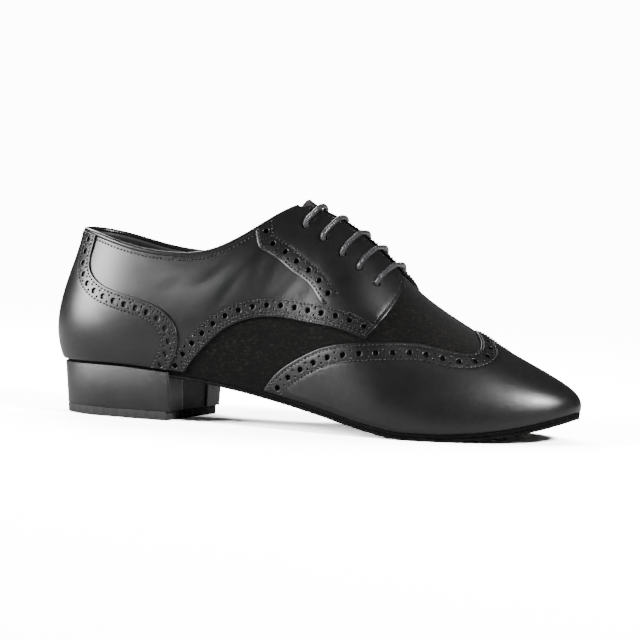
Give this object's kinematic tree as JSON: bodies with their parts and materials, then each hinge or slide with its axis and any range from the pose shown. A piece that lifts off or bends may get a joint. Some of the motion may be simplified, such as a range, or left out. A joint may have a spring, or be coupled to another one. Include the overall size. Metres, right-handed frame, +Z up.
{
  "type": "ballroom dance shoe",
  "caption": "Men's lace-up ballroom dance shoe with wing tip, broguing, suede vamp, low block heel and thin suede sole, right foot.",
  "frame": {"origin": "centre of the heel's flat ground face, on the floor", "axes": "+X to the toe, +Y to the inner side of the foot, +Z up"},
  "size_m": [0.3018, 0.0956, 0.1259],
  "materials": {
    "suede_upper": "black nubuck with a short nap",
    "black_leather": "smooth calf, satin gloss",
    "tongue_suede": "black suede",
    "insole_leather": "matte lining leather",
    "outsole_leather": "dressed black edge",
    "chrome_suede": "rough dance suede",
    "heel_core": "matte black",
    "heel_leather": "smooth, satin gloss",
    "heel_rubber": "matte, worn edge",
    "waxed_cord": "round waxed cord"
  },
  "bodies": {
    "root": {"upper": "suede_upper", "quarters": "black_leather", "facing_outer": "black_leather", "facing_inner": "black_leather", "counter": "black_leather", "wing_cap": "black_leather", "collar_binding": "black_leather", "tongue": "tongue_suede", "insole": "insole_leather", "outsole": "outsole_leather", "suede_sole": "chrome_suede", "heel_block": "heel_core", "heel_cover": "heel_leather", "heel_top_piece": "heel_rubber", "laces": "waxed_cord"}
  },
  "joints": []
}
